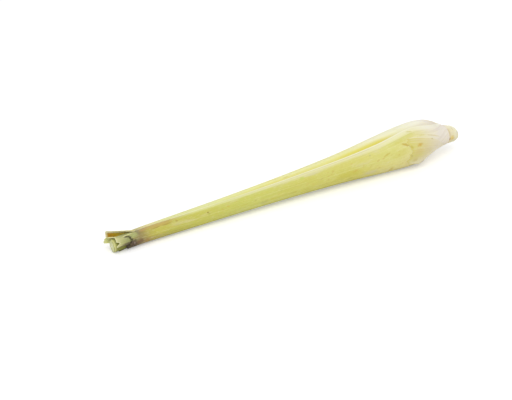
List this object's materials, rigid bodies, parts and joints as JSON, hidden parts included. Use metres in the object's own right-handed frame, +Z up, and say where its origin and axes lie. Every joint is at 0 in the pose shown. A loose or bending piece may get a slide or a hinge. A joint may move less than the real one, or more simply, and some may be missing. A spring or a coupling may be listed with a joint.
{
  "type": "lemongrass stalk",
  "caption": "Trimmed lemongrass stalk lying down: stem base with leaf sheaths rolled into a swollen bulb and a slim cut top.",
  "frame": {"origin": "bottom centre of the stalk's box, on the surface that the stalk lies on", "axes": "+X along the stalk towards the root end, +Z up, -Y the side that shows the outer sheath"},
  "size_m": [0.265, 0.0288, 0.0262],
  "materials": {
    "stem_base": "fresh stem tissue, matt, faintly ringed",
    "basal_sheath": "thin drying leaf sheath, ribbed, satin",
    "outer_sheath": "fresh leaf sheath, finely ribbed, waxy satin",
    "second_sheath": "fresh leaf sheath, finely ribbed, waxy satin",
    "third_sheath": "fresh leaf sheath, finely ribbed, satin",
    "inner_sheath": "fresh leaf sheath, satin, cut moist end",
    "heart_leaves": "tight roll of young leaves, satin, cut moist end"
  },
  "bodies": {
    "root": {"stem_base": "stem_base", "basal_sheath": "basal_sheath", "outer_sheath": "outer_sheath", "second_sheath": "second_sheath", "third_sheath": "third_sheath", "inner_sheath": "inner_sheath", "heart_leaves": "heart_leaves"}
  },
  "joints": []
}
